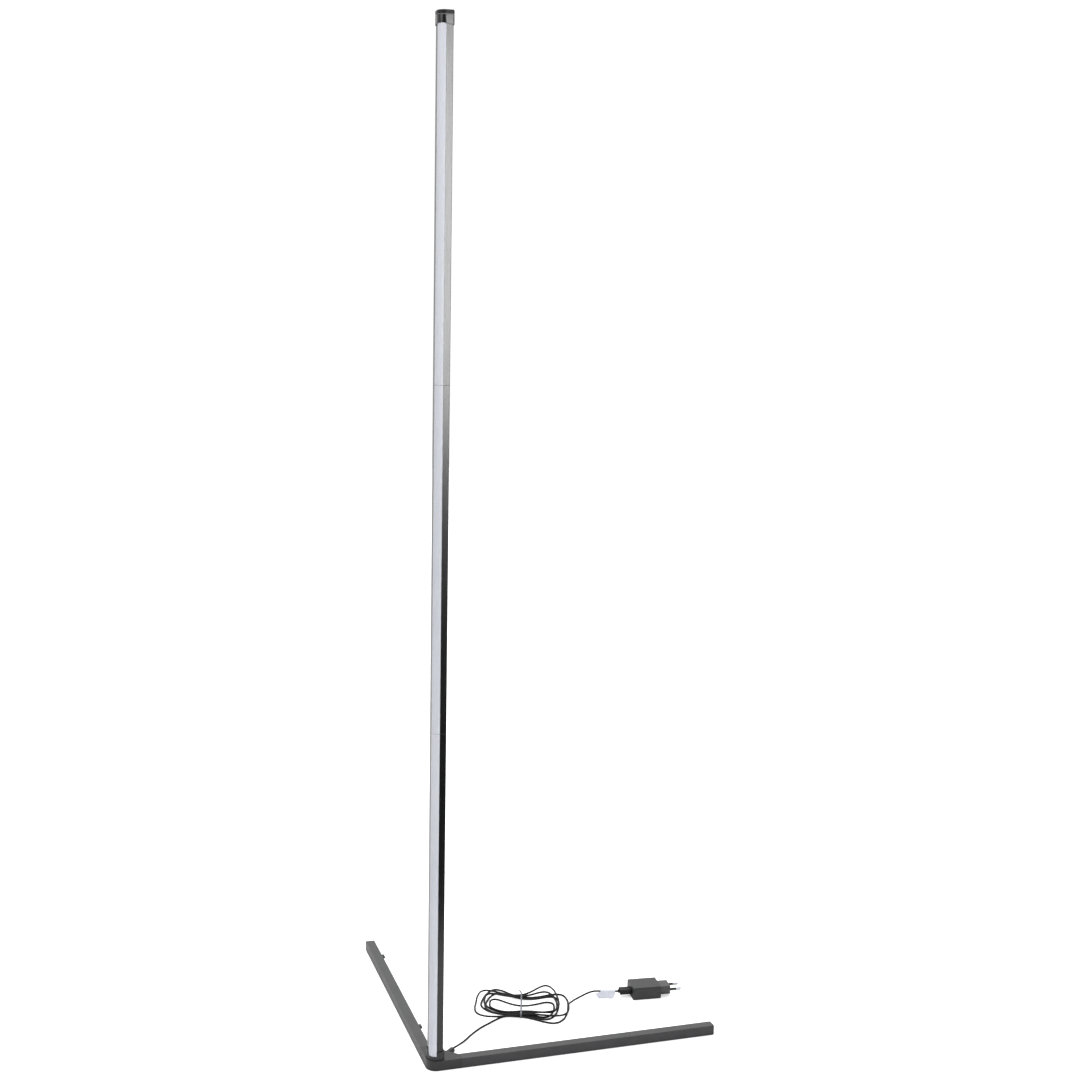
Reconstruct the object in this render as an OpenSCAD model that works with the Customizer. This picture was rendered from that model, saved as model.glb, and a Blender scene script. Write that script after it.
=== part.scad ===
// Corner floor lamp: a slim three-piece light column on an L-shaped base of two square
// tubes, fed by a thin lead, tied in a hank, from a plug-in adapter.
// Millimetres, +Z up, floor at z = 0. The legs run along +X and +Y from the outer corner.

/* [Column] */
// Height from the floor to the top of the cap
total_h = 1500; // [1300:10:1600]
// Width and depth of the column's section
pole_size = 19.6; // [18:0.2:22]
// Bare metal beside the diffuser on each outer face
pole_flat = 9.6; // [8.6:0.2:10.6]
// Wall of the metal profile
pole_wall = 1.2; // [1:0.1:1.5]
// Wall of the diffuser
diffuser_wall = 1.2; // [1:0.1:1.5]
// Gap between two stacked pieces of the column
seam_gap = 0.3; // [0.2:0.05:0.6]
// How far a coupler reaches into each piece it joins
coupler_reach = 40; // [25:1:60]
// Width of a light strip
strip_w = 8; // [6:0.5:9]
// Number of light chips on each piece's strip
chip_count = 14; // [8:1:20]

/* [Base] */
// Reach of each leg from the outer corner of the base
leg_reach = 454.5; // [360:0.5:520]
// Width and height of the square leg tube
leg_size = 15.2; // [14:0.2:18]
// Wall of the leg tube
leg_wall = 1.2; // [0.9:0.1:1.6]
// Thickness of the cap on each leg's end
leg_cap_t = 2; // [1.5:0.1:3]
// Distance from the base's outer faces to the column
pole_inset = 4.1; // [3.6:0.1:5]
// Length of the connector's arms along the legs
arm_len = 52; // [50:0.5:70]
// Size of the web that fills the inner corner, along each leg
gusset = 34.3; // [33:0.5:36]
// Radius of the base's outer corner
corner_r = 16; // [13:0.5:17]
// Height of the collar round the column, above the legs
collar_h = 14; // [11:0.5:20]
// Wall of the collar
collar_wall = 1.6; // [1.2:0.1:2.2]
// Height of the lip in front of the diffuser, above the legs
lip_h = 5.6; // [4.5:0.1:7]
// Thickness of the foot pads
pad_t = 0.6; // [0.4:0.1:1]
// Diameter of the foot pads
pad_d = 11; // [8:0.5:13]

/* [Top cap] */
// Height of the lid
lid_h = 6.5; // [5:0.5:10]
// Height of the sleeve below the lid
sleeve_h = 13; // [10:0.5:20]
// Wall of the sleeve
cap_wall = 0.9; // [0.7:0.1:1.4]
// How much higher the sleeve's rim is at the outer corner
sleeve_rise = 3.6; // [2:0.2:5]

/* [Power lead] */
// Diameter of the lead
cord_d = 3; // [2.6:0.1:3.4]
// Length of the plug and its strain relief outside the base
power_plug_len = 26.4; // [22:0.2:32]
// Height of the inlet above the floor
inlet_z = 6.6; // [6.2:0.1:7.4]
// Half the length of the hank
hank_half = 72; // [68:1:76]
// Distance from the middle of the hank to its outermost run at the tie
hank_waist = 36; // [34:0.5:40]
// Spacing of the runs at the tie
hank_step = 5.4; // [5.2:0.1:5.8]
// Spacing of the loops at the two ends
hank_fan = 9; // [8.5:0.1:9.5]
// Width of the tie
tie_w = 3; // [2:0.5:6]
// Thickness of the tie
tie_t = 0.6; // [0.4:0.1:1]
// Length of the blank tag along the lead
tag_len = 31; // [20:1:31]

/* [Adapter] */
// Length of the adapter's body
adapter_l = 46; // [42:0.5:60]
// Width of the adapter's body
adapter_w = 40; // [36.5:0.5:46]
// Height of the adapter's body
adapter_h = 20; // [18.5:0.5:26]
// Wall of the adapter's body
adapter_wall = 2; // [1.6:0.1:2.2]
// Length of the nose that enters a wall socket
nose_l = 18; // [16:0.5:20]
// Width of the nose
nose_w = 35.3; // [34:0.1:36]
// Height of the nose
nose_h = 13.7; // [12.6:0.1:14]
// Length of the contact pins outside the nose
pin_l = 19; // [17:0.5:20]
// Diameter of the contact pins
pin_d = 4; // [3.9:0.05:4.1]
// Distance between the contact pins
pin_pitch = 18.6; // [17.5:0.1:19.2]
// Height of the lead's own plug above the floor, at its axis
usb_z = 9; // [8.5:0.1:10]
// Length of the moulded grip on the lead's plug
grip_l = 18.4; // [14:0.2:26]

/* [Hidden] */
$fn = 48;
fit = 0.25;
slide = 0.1;
edge_r = 0.8;
root2 = sqrt(2);

// Column
diffuser_r = pole_size - pole_flat;
hook_len = 1.4;
hook_t = 0.9;
hook_room = 0.4;
web_t = 1.2;
web_line = diffuser_r + hook_len + pole_wall + slide + hook_t + hook_room;
web_back = web_line + web_t * root2;
strip_t = 0.8;
chip_size = 4;
chip_h = 1.4;
leg_top = pad_t + leg_size;
socket_floor = 0.7;
pole_z0 = leg_top + socket_floor;
lid_skin = 2;
piece_h = (total_h - lid_skin - pole_z0 - 2 * seam_gap) / 3;
piece_step = piece_h + seam_gap;
flange_in = 0.3;
contact_d = 1.2;
contact_pitch = 2.6;
contact_out = 5;
contact_side = (web_back / 2 + pole_size - pole_wall) / 2;

// Cap
line_h = 0.7;
line_in = 0.5;
crown_h = 0.8;
crown_in = 0.8;

// Base
gusset_line = 2 * leg_size + gusset;
tongue_len = 34;
tongue_gap = leg_wall + fit;
shell_t = 2.2;
roof_t = 2.4;
cover_t = 1.4;
cover_ledge = 1.2;
board_z = pad_t + cover_t + 2;
board_t = 1.2;
// Each part on the control board: its corner, its width and depth, its height
board_parts = [[[14.5, 5], [9, 7], 3], [[5, 15.5], [7, 8], 4.5], [[14.5, 14.5], [5.5, 5.5], 2.2]];
post_d = 6;
post_in = 4.3;
pillar_at = 10;
wire_d = 4;
spigot_h = 30;
collar_drop = 4.4;
screw_d = 3;
screw_head_d = 5.6;
screw_head_h = 1.1;
hex_d = 2.6;
hex_h = 0.8;
leg_screw_l = 9;
leg_screw_at = [arm_len + 10, arm_len + 26];
cover_screw_l = 9;
leg_plug_len = 12;
leg_plug_wall = 1.4;
clip_len = 8;
clip_out = 0.8;
clip_t = 0.7;
clip_gap = 2;
clip_plate_h = 7;
clip_spots = [115.5, 384];

// Inlet
jack_d = 9;
jack_len = 12;
well_line = gusset_line - (shell_t + jack_len) * root2;
post_at = [well_line - shell_t - post_in - post_d, shell_t + post_in];
barrel_d = 5.5;
barrel_len = 9;
barrel_bore = 2.1;
centre_pin_d = 1.9;
centre_pin_tip = 1;
grip_d = 9.2;
grip_drop = 1.1;
relief_len = 1.4;
relief_d = 5.6;

// The lead's route, flat on the floor apart from its two ends. Places are measured from the
// end of the strain relief, which the first points leave straight.
exit_side = gusset_line / 2 + power_plug_len / root2;
floor_z = cord_d / 2;
lead_route = [
    [0, 0, inlet_z], [3, 3, inlet_z], [9, 9.5, 5.2], [18, 19.5, 3.4], [28, 31, 2.1],
    [38, 43, floor_z], [50, 55, floor_z], [63, 66, floor_z], [77, 75.5, floor_z], [90, 84, floor_z],
    [100, 90, floor_z], [110, 92.4, floor_z]
];

// The route beyond the hank, measured from the hank's end
tail_route = [
    [10.5, 13.7, 4.6], [22, 22.4, 4.4], [32.5, 28.2, 5], [42.4, 32, 6.4], [49.7, 32.2, 8]
];
tag_at = [56.65, 30.88];
tag_turn = -16;
tag_room = 33;
tag_ease = 1;
nub_at = [91.21, 21.24];
nub_straight = 1.6;
ring_step = 7;
lead_sides = 8;

// Hank: a flattened loop, wound inwards on the floor and outwards again on top of itself
hank_mid = [143, 118];
hank_turn = -17.5;
hank_start = 264;
hank_turns = 5.25;
loop_rings = 24;
hank_sides = 6;
reverse_at = (90 - hank_start + 3 * 360) / 360;
reverse_soft = 0.12;
climb = 0.5;
layer_gap = 0.8;
swell_top = 40;
swell_top_step = 9;
swell_low = 14;
swell_low_step = 3;
swell_tilt = 9;
swell_peak = 2.598;
lower_twist = -9;
upper_twist = 8;
wander = 1.8;
wander_rate = 230;
// Loops out of line with the others: the turn each is at, the share of a turn it takes to either
// side, and how far it is off along, across and upwards
strays = [
    [reverse_at, 0.25, 0, -25, 0], [0.23, 0.19, 4, -6, 0], [3.8, 0.2, 4, -3, 0],
    [4.27, 0.24, -3, 6, 3.8], [4.86, 0.15, -9, -4, 0]
];
tie_reach = 30;
end_cut = 0.008;
tie_room = 0.2;
tie_side = 1;

// Adapter
adapter_turn = -5.5;
top_bevel = 2.4;
low_bevel = 1.4;
end_bevel = 3;
nose_flat = 23;
nose_corner = 6;
nose_lip = 1.6;
tenon_len = 3;
pin_root = 5;
pin_tip = 0.8;
sleeve_l = 10;
pin_sleeve_t = 0.45;
usb_w = 12;
usb_h = 4.5;
usb_l = 11.7;
usb_t = 0.4;
usb_root = 3;
usb_gap = 0.3;
port_wall = 1;
port_deep = 14;
port_ring = 0.4;
tongue_t = 1.5;
grip_w = 15;
grip_h = 8;
grip_bevel = 1.4;
nub_l = 3.2;
nub_d = 5.4;
rail_w = 2;
rail_z = adapter_wall + 2;
coil_size = [12, 13, 9];
can_d = 7;
can_h = 10;
can_at = 11;
tag_t = 0.5;
tag_w = 12.4;
tag_lean = 49;
tag_corner = 5;

// Places

// Origin on the outer corner of the base
module at_apex() translate([-leg_reach / 2, -leg_reach / 2, 0]) children();

module at_pole(z = 0) at_apex() translate([pole_inset, pole_inset, z]) children();

// Swaps X and Y about the corner's diagonal
module other_leg() mirror([1, -1, 0]) children();

// Origin on the web's face in the inner corner, +X out along the diagonal
module inlet_place() translate([gusset_line / 2, gusset_line / 2, inlet_z]) rotate([0, 0, 45]) children();

module at_inlet() at_apex() inlet_place() children();

module at_exit() at_apex() translate([exit_side, exit_side, 0]) children();

module at_adapter() at_exit() translate(adapter_at) rotate([0, 0, adapter_turn]) children();

// A rod along +X
module rod_x(d, l) rotate([0, 90, 0]) cylinder(d = d, h = l);

// Lays a section drawn in Y and Z along +X
module along_x(l) rotate([90, 0, 90]) linear_extrude(l) children();

// Curves

function unit(v) = v / norm(v);

function catmull(a, b, c, d, t) = 0.5 * (2 * b + (c - a) * t + (2 * a - 5 * b + 4 * c - d) * t * t
    + (3 * b - a - 3 * c + d) * t * t * t);

function above_floor(p) = [p[0], p[1], max(p[2], floor_z)];

// A smooth curve through the points, whose first and last stretches stay straight
function smooth_path(p) = let(n = len(p)) [
    p[0],
    for (i = [1:n - 3])
        let(cuts = max(1, round(norm(p[i + 1] - p[i]) / ring_step)))
            for (k = [0:cuts - 1]) above_floor(catmull(p[i - 1], p[i], p[i + 1], p[i + 2], k / cuts)),
    p[n - 2],
    p[n - 1]
];

function heading(p, i) = i == 0 ? unit(p[1] - p[0])
    : i == len(p) - 1 ? unit(p[i] - p[i - 1])
    : unit(unit(p[i + 1] - p[i]) + unit(p[i] - p[i - 1]));

function ring(p, t, r, sides) = let(left = unit(cross([0, 0, 1], t)), up = cross(t, left)) [
    for (k = [0:sides - 1])
        let(a = 90 + 360 * k / sides) p + r * (cos(a) * left + sin(a) * up)
];

function path_length(p, i = 0) = i >= len(p) - 1 ? 0 : norm(p[i + 1] - p[i]) + path_length(p, i + 1);

module tube(p, d, sides) {
    n = len(p);
    polyhedron(
        points = [for (i = [0:n - 1]) each ring(p[i], heading(p, i), d / 2, sides)],
        faces = concat(
            [[for (k = [0:sides - 1]) k]],
            [for (i = [0:n - 2], k = [0:sides - 1])
                let(a = i * sides + k, b = i * sides + (k + 1) % sides) [a, a + sides, b + sides]],
            [for (i = [0:n - 2], k = [0:sides - 1])
                let(a = i * sides + k, b = i * sides + (k + 1) % sides) [a, b + sides, b]],
            [[for (k = [0:sides - 1]) n * sides - 1 - k]]
        )
    );
}

// Hank

function soft_step(x) = let(t = min(1, max(0, x))) t * t * (3 - 2 * t);

function hank_layer(n) = soft_step((n - reverse_at) / climb + 0.5);

// Loops still to go to the innermost one, or gone since, counted from the outermost
function hank_depth(n) = reverse_at - sqrt(pow(n - reverse_at, 2) + pow(reverse_soft, 2));

// How far the stray loops put a place of the winding off, their lift wider than their sideways part
function stray_part(n, s) = let(
    x = min(1, pow((n - s[0]) / s[1], 2)),
    side = pow(1 - x, 2),
    up = pow(1 - x * x, 2)
) [s[2] * side, s[3] * side, s[4] * up];

function stray_off(n, i = 0) = i >= len(strays) ? [0, 0, 0]
    : stray_part(n, strays[i]) + stray_off(n, i + 1);

// A place on the loop, along and across it, before its layer is turned
function hank_flat(n) = let(
    a = hank_start + 360 * n,
    s = hank_depth(n),
    half = hank_half - hank_fan * s + wander * sin(wander_rate * n),
    swell = sin(a) >= 0 ? swell_top - swell_top_step * s
        : swell_low - swell_low_step * s + swell_tilt * cos(a),
    off = stray_off(n)
) [
    half * cos(a) + off[0],
    sin(a) * (hank_waist - hank_step * s) + swell * swell_peak * sin(a) * pow(cos(a), 2) + off[1]
];

function turned(p, a) = [p[0] * cos(a) - p[1] * sin(a), p[0] * sin(a) + p[1] * cos(a)];

function hank_at(n) = let(
    layer = hank_layer(n),
    p = turned(hank_flat(n), lower_twist + (upper_twist - lower_twist) * layer),
    q = turned(p, hank_turn),
    lift = (tie_t + tie_room) * pow(max(0, 1 - pow(p[0] / tie_reach, 2)), 2)
) [
    hank_mid[0] + q[0], hank_mid[1] + q[1],
    floor_z + lift + layer * (cord_d + layer_gap) + stray_off(n)[2]
];

hank_rings = ceil(hank_turns * loop_rings);
hank_path = [
    hank_at(0),
    hank_at(end_cut),
    for (i = [1:hank_rings - 1]) hank_at(i * hank_turns / hank_rings),
    hank_at(hank_turns - end_cut),
    hank_at(hank_turns)
];
hank_count = len(hank_path);
hank_first = hank_path[0];
hank_last = hank_path[hank_count - 1];
hank_end = [hank_last[0], hank_last[1]];

// Least distance from a place to the hank's stretches that are not its neighbours
function to_stretch(p, a, b) = let(t = min(1, max(0, (p - a) * (b - a) / ((b - a) * (b - a)))))
    norm(a + t * (b - a) - p);

function least_gap(i) = min([
    for (j = [0:hank_count - 2]) if (j > i + 3 || j < i - 4)
        to_stretch(hank_path[i], hank_path[j], hank_path[j + 1])
]) - cord_d;

// Lead and tail

function flat_point(p, z) = [p[0], p[1], z];

function direction(a) = [cos(a), sin(a)];

nub_tip = hank_end + nub_at;
tag_start = hank_end + tag_at;
tag_end = tag_start + tag_room * direction(tag_turn);
tag_inset = tag_ease * direction(tag_turn);

lead_path = smooth_path(concat(lead_route,
    [hank_first - cord_d * heading(hank_path, 0), hank_first]));

tail_path = smooth_path(concat(
    [hank_last, hank_last + cord_d * heading(hank_path, hank_count - 1)],
    [for (p = tail_route) [hank_end[0] + p[0], hank_end[1] + p[1], p[2]]],
    [for (p = [tag_start, tag_start + tag_inset, tag_end - tag_inset, tag_end]) flat_point(p, usb_z)],
    [flat_point(nub_tip - nub_straight * direction(adapter_turn), usb_z), flat_point(nub_tip, usb_z)]));

echo(least_gap_in_hank = min([for (i = [0:hank_count - 1]) least_gap(i)]));
echo(lead = path_length(lead_path), hank = path_length(hank_path), tail = path_length(tail_path));
echo(cord_length = path_length(lead_path) + path_length(hank_path) + path_length(tail_path));

adapter_at = nub_tip + (grip_l + nub_l) * direction(adapter_turn);

cord_grey = [0.16, 0.16, 0.16];

module cord_lead() color(cord_grey) at_exit() tube(lead_path, cord_d, lead_sides);

module cord_hank() color(cord_grey) at_exit() tube(hank_path, cord_d, hank_sides);

module cord_tail() color(cord_grey) at_exit() tube(tail_path, cord_d, lead_sides);

// A band round all the runs at the waist, with its foot on the floor
module hank_tie() color([0.8, 0.8, 0.82]) {
    side = hank_waist + floor_z + tie_side;
    inner_h = 2 * cord_d + layer_gap + 2 * tie_room;
    r = cord_d / 2;
    at_exit() translate([hank_mid[0], hank_mid[1], 0]) rotate([0, 0, hank_turn])
        translate([-tie_w / 2, 0, tie_t]) along_x(tie_w) difference() {
            translate([-side - tie_t, -tie_t])
                round_box([2 * (side + tie_t), inner_h + 2 * tie_t], r + tie_t);
            translate([-side, 0]) round_box([2 * side, inner_h], r);
        }
}

module round_box(size, r) {
    translate([r, 0]) square([size[0] - 2 * r, size[1]]);
    translate([0, r]) square([size[0], size[1] - 2 * r]);
    for (x = [r, size[0] - r], y = [r, size[1] - r]) translate([x, y]) circle(r);
}

// A blank folded label, its sleeve round the lead and its flag leaning to the floor
module cord_tag() color([0.9, 0.91, 0.94])
    at_exit() translate(flat_point(tag_start, usb_z)) rotate([0, 0, tag_turn])
        translate([(tag_room - tag_len) / 2, 0, 0]) {
            along_x(tag_len) difference() {
                circle(d = cord_d + 2 * tag_t);
                circle(d = cord_d);
            }
            rotate([tag_lean, 0, 0]) translate([0, -tag_w, floor_z]) linear_extrude(tag_t)
                polygon([
                    [0, tag_w], [0, tag_corner], [tag_corner, 0], [tag_len, 0], [tag_len, tag_w]
                ]);
        }

// Column

// A square whose four corners have their own radii, from the outer corner anticlockwise
module round_square(size, radii) {
    spots = [[0, 0], [1, 0], [1, 1], [0, 1]];
    difference() {
        square(size);
        for (i = [0:3]) {
            r = radii[i];
            low = [for (k = [0:1]) spots[i][k] * (size - r)];
            middle = [for (k = [0:1]) spots[i][k] == 0 ? r : size - r];
            difference() {
                translate(low) square(r);
                translate(middle) circle(r);
            }
        }
    }
}

// The column's outline, with room or a wall of g all round
module pole_outline(g = 0)
    translate([-g, -g])
        round_square(pole_size + 2 * g, [diffuser_r + g, edge_r + g, edge_r + g, edge_r + g]);

// The closed chamber behind the strip's web, g inside its walls
module back_chamber(g = 0) {
    near = pole_wall + g;
    far = pole_size - pole_wall - g;
    line = web_back + g * root2;
    polygon([[line - near, near], [far, near], [far, far], [near, far], [near, line - near]]);
}

module front_chamber() {
    r = diffuser_r;
    t = pole_wall;
    polygon([[-1, -1], [r, -1], [r, t], [web_line - t, t], [t, web_line - t], [t, r], [-1, r]]);
}

module pole_metal() {
    difference() {
        round_square(pole_size, [edge_r, edge_r, edge_r, edge_r]);
        front_chamber();
        back_chamber();
    }
}

module diffuser_side() {
    end = diffuser_r - slide;
    hook_y = pole_wall + slide;
    translate([end - diffuser_wall, diffuser_wall / 2])
        square([diffuser_wall, hook_y + hook_t - diffuser_wall / 2]);
    translate([end - diffuser_wall / 2, hook_y]) square([hook_len + diffuser_wall / 2, hook_t]);
}

module diffuser_section() {
    intersection() {
        translate([diffuser_r, diffuser_r]) difference() {
            circle(diffuser_r, $fn = 96);
            circle(diffuser_r - diffuser_wall, $fn = 96);
        }
        square(diffuser_r - slide);
    }
    diffuser_side();
    mirror([1, -1]) diffuser_side();
}

module column_piece(i) at_pole(pole_z0 + i * piece_step) linear_extrude(piece_h) children();

module pole_piece(i) color([0.13, 0.13, 0.14]) column_piece(i) pole_metal();

module diffuser_piece(i) color([0.92, 0.93, 0.96]) column_piece(i) diffuser_section();

module strip_piece(i) color([0.95, 0.94, 0.9])
    at_pole(pole_z0 + i * piece_step) translate([web_line / 2, web_line / 2, 0]) rotate([0, 0, -45]) {
        translate([-strip_w / 2, -strip_t, 0]) cube([strip_w, strip_t, piece_h]);
        for (k = [0:chip_count - 1])
            translate([-chip_size / 2, -strip_t - chip_h, (k + 0.5) * piece_h / chip_count - chip_size / 2])
                cube([chip_size, chip_h + strip_t / 2, chip_size]);
    }

module pole_lower() pole_piece(0);

module pole_middle() pole_piece(1);

module pole_upper() pole_piece(2);

module diffuser_lower() diffuser_piece(0);

module diffuser_middle() diffuser_piece(1);

module diffuser_upper() diffuser_piece(2);

module led_strip_lower() strip_piece(0);

module led_strip_middle() strip_piece(1);

module led_strip_upper() strip_piece(2);

// Four contacts in a row, in the middle of the back chamber
module contact_spots() translate([contact_side, contact_side]) rotate([0, 0, -45])
    for (k = [-1.5:1:1.5]) translate([k * contact_pitch, 0]) children();

// A core that reaches into the pieces on both sides, and a thin flange between them
module coupler(i) color([0.1, 0.1, 0.1]) at_pole(pole_z0 + i * piece_step - seam_gap) difference() {
    union() {
        translate([0, 0, -coupler_reach]) linear_extrude(2 * coupler_reach + seam_gap) back_chamber(fit);
        linear_extrude(seam_gap) pole_outline(-flange_in);
    }
    translate([0, 0, -2 * coupler_reach]) linear_extrude(4 * coupler_reach)
        contact_spots() circle(d = contact_d);
}

module contacts(i) color([0.85, 0.7, 0.35])
    at_pole(pole_z0 + i * piece_step - seam_gap - coupler_reach - contact_out)
        linear_extrude(2 * (coupler_reach + contact_out) + seam_gap) contact_spots() circle(d = contact_d);

module coupler_lower() coupler(1);

module coupler_upper() coupler(2);

module contacts_lower() contacts(1);

module contacts_upper() contacts(2);

// Top cap

// What lies above (side 1) or below (side -1) a rim that is level behind the column's side
// corners and rises from them to its outer corner
module beyond_rim(z, rise, side) {
    run = pole_size / root2 + fit;
    far = 2 * pole_size;
    translate([pole_size / 2, pole_size / 2, z]) rotate([0, 0, 45]) rotate([90, 0, 0])
        translate([0, 0, -far]) linear_extrude(2 * far)
            polygon([[far, 0], [0, 0], [-2 * run, 2 * rise], [-2 * run, side * far], [far, side * far]]);
}

module cap_sleeve() color([0.1, 0.1, 0.11]) {
    z = total_h - lid_h - sleeve_h;
    at_pole() difference() {
        translate([0, 0, z]) linear_extrude(sleeve_h) difference() {
            pole_outline(fit + cap_wall);
            pole_outline(fit);
        }
        beyond_rim(z, sleeve_rise, -1);
    }
}

// A lid with a drawn-in line at its foot and a narrower crown
module cap_lid() color([0.08, 0.08, 0.09]) {
    inside = lid_h - lid_skin;
    at_pole(total_h - lid_h) difference() {
        union() {
            linear_extrude(line_h) pole_outline(fit + cap_wall - line_in);
            translate([0, 0, line_h]) linear_extrude(lid_h - line_h - crown_h) pole_outline(fit + cap_wall);
            translate([0, 0, lid_h - crown_h]) linear_extrude(crown_h)
                pole_outline(fit + cap_wall - crown_in);
        }
        translate([0, 0, -1]) linear_extrude(inside + 1) pole_outline(fit);
    }
}

// Base

module connector_plan() {
    a = arm_len;
    w = leg_size;
    difference() {
        polygon([[0, 0], [a, 0], [a, w], [gusset_line - w, w], [w, gusset_line - w], [w, a], [0, a]]);
        difference() {
            square(corner_r);
            translate([corner_r, corner_r]) circle(corner_r);
        }
    }
}

// The hollow under the connector, with its two straight sides and rounded corner out by ledge
module well_plan(ledge = 0) {
    side = shell_t - ledge;
    difference() {
        polygon([[side, side], [well_line - side, side], [side, well_line - side]]);
        difference() {
            square(corner_r);
            translate([corner_r, corner_r]) circle(corner_r - side);
        }
    }
}

module both_posts() {
    translate(post_at) children();
    translate([post_at[1], post_at[0]]) children();
}

module countersunk(l) {
    cylinder(d1 = screw_head_d, d2 = screw_d, h = screw_head_h);
    cylinder(d = screw_d, h = l);
}

module screw(l) difference() {
    countersunk(l);
    translate([0, 0, -1]) cylinder(d = hex_d, h = hex_h + 1, $fn = 6);
}

module leg_screw_spots() for (x = leg_screw_at) translate([x, leg_size / 2, pad_t]) children();

// A solid tongue that fills the end of a leg
module tongue() {
    side = leg_size - 2 * tongue_gap;
    translate([arm_len - 1, tongue_gap, pad_t + tongue_gap]) cube([tongue_len + 1, side, side]);
}

module connector_outside() {
    translate([0, 0, pad_t]) linear_extrude(leg_size) connector_plan();
    tongue();
    other_leg() tongue();
    translate([pole_inset, pole_inset, leg_top - 1]) linear_extrude(collar_h + 1)
        pole_outline(fit + collar_wall);
}

// Room for the column, a rim that drops towards the outer corner, and a lip before the diffuser
module connector_socket() {
    dip = pole_inset + diffuser_r;
    translate([pole_inset, pole_inset, 0]) {
        translate([0, 0, pole_z0]) linear_extrude(collar_h + 1) pole_outline(fit);
        beyond_rim(leg_top + collar_h, -collar_drop, 1);
    }
    translate([-1, -1, leg_top + lip_h]) cube([dip + 1, dip + 1, collar_h]);
}

module connector_well() {
    translate([0, 0, pad_t - 1]) linear_extrude(leg_size - roof_t + 1) well_plan();
    translate([0, 0, pad_t - 1]) linear_extrude(cover_t + 1) well_plan(cover_ledge);
    inlet_place() {
        translate([-shell_t - jack_len - 1, 0, 0]) rod_x(jack_d, jack_len + 1);
        translate([-shell_t - 1, 0, 0]) rod_x(barrel_d + 2 * fit, shell_t + 2);
    }
}

module corner_connector() color([0.12, 0.12, 0.12]) at_apex() {
    under_board = board_z + board_t;
    roof = leg_top - roof_t;
    difference() {
        union() {
            difference() {
                connector_outside();
                connector_socket();
                connector_well();
            }
            both_posts() translate([0, 0, under_board]) cylinder(d = post_d, h = roof - under_board + 1);
            translate([pillar_at, pillar_at, under_board]) cylinder(d = post_d, h = roof - under_board + 1);
            translate([pole_inset, pole_inset, leg_top]) linear_extrude(spigot_h) back_chamber(fit);
        }
        translate([pole_inset + contact_side, pole_inset + contact_side, roof - 1])
            cylinder(d = wire_d, h = spigot_h + roof_t + 2);
        both_posts() translate([0, 0, pad_t]) countersunk(cover_screw_l);
        leg_screw_spots() countersunk(leg_screw_l);
        other_leg() leg_screw_spots() countersunk(leg_screw_l);
    }
}

module base_cover() color([0.14, 0.14, 0.14]) at_apex() difference() {
    union() {
        translate([0, 0, pad_t]) linear_extrude(cover_t) well_plan(cover_ledge - slide);
        both_posts() translate([0, 0, pad_t]) cylinder(d = post_d, h = board_z - pad_t);
        translate([pillar_at, pillar_at, pad_t]) cylinder(d = post_d, h = board_z - pad_t);
    }
    both_posts() translate([0, 0, pad_t]) countersunk(cover_screw_l);
}

module cover_screws() color([0.5, 0.5, 0.52]) at_apex()
    both_posts() translate([0, 0, pad_t]) screw(cover_screw_l);

module leg_screws() color([0.5, 0.5, 0.52]) at_apex() {
    leg_screw_spots() screw(leg_screw_l);
    other_leg() leg_screw_spots() screw(leg_screw_l);
}

// One leg along +X: a square tube between the connector's arm and the end cap
module leg() difference() {
    translate([arm_len, 0, pad_t]) cube([leg_reach - leg_cap_t - arm_len, leg_size, leg_size]);
    translate([arm_len - 1, leg_wall, pad_t + leg_wall])
        cube([leg_reach - arm_len, leg_size - 2 * leg_wall, leg_size - 2 * leg_wall]);
    leg_screw_spots() countersunk(leg_screw_l);
}

// The flange on a leg's end and the hollow plug behind it
module leg_cap() {
    plug = leg_size - 2 * tongue_gap;
    hollow = plug - 2 * leg_plug_wall;
    hollow_gap = tongue_gap + leg_plug_wall;
    translate([leg_reach - leg_cap_t, 0, pad_t]) cube([leg_cap_t, leg_size, leg_size]);
    difference() {
        translate([leg_reach - leg_cap_t - leg_plug_len, tongue_gap, pad_t + tongue_gap])
            cube([leg_plug_len + 1, plug, plug]);
        translate([leg_reach - leg_cap_t - leg_plug_len - 1, hollow_gap, pad_t + hollow_gap])
            cube([leg_plug_len + 1, hollow, hollow]);
    }
}

module right_leg() color([0.13, 0.13, 0.14]) at_apex() leg();

module rear_leg() color([0.13, 0.13, 0.14]) at_apex() other_leg() leg();

module right_leg_cap() color([0.1, 0.1, 0.1]) at_apex() leg_cap();

module rear_leg_cap() color([0.1, 0.1, 0.1]) at_apex() other_leg() leg_cap();

module foot_pads() color([0.2, 0.2, 0.2]) at_apex() {
    ends = [arm_len - pad_d / 2 - 1, leg_reach - pad_d];
    translate([pillar_at, pillar_at, 0]) cylinder(d = pad_d, h = pad_t);
    for (x = ends) {
        translate([x, leg_size / 2, 0]) cylinder(d = pad_d, h = pad_t);
        translate([leg_size / 2, x, 0]) cylinder(d = pad_d, h = pad_t);
    }
}

// Open clips for the lead on the rear leg's inner face, their tops just above the leg
module cord_clips() color([0.1, 0.1, 0.1]) at_apex() {
    outer_r = cord_d / 2 + slide + clip_t;
    centre_z = leg_top + clip_out - outer_r;
    centre_x = leg_size + outer_r - clip_t / 2;
    for (y = clip_spots) translate([0, y + clip_len, 0]) rotate([90, 0, 0]) linear_extrude(clip_len) {
        translate([leg_size, leg_top - clip_plate_h]) square([clip_t, clip_plate_h]);
        difference() {
            translate([centre_x, centre_z]) circle(outer_r);
            translate([centre_x, centre_z]) circle(outer_r - clip_t);
            translate([centre_x, centre_z]) rotate(20) translate([0, -clip_gap / 2])
                square([2 * outer_r, clip_gap]);
            square([leg_size, leg_top]);
        }
    }
}

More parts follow.
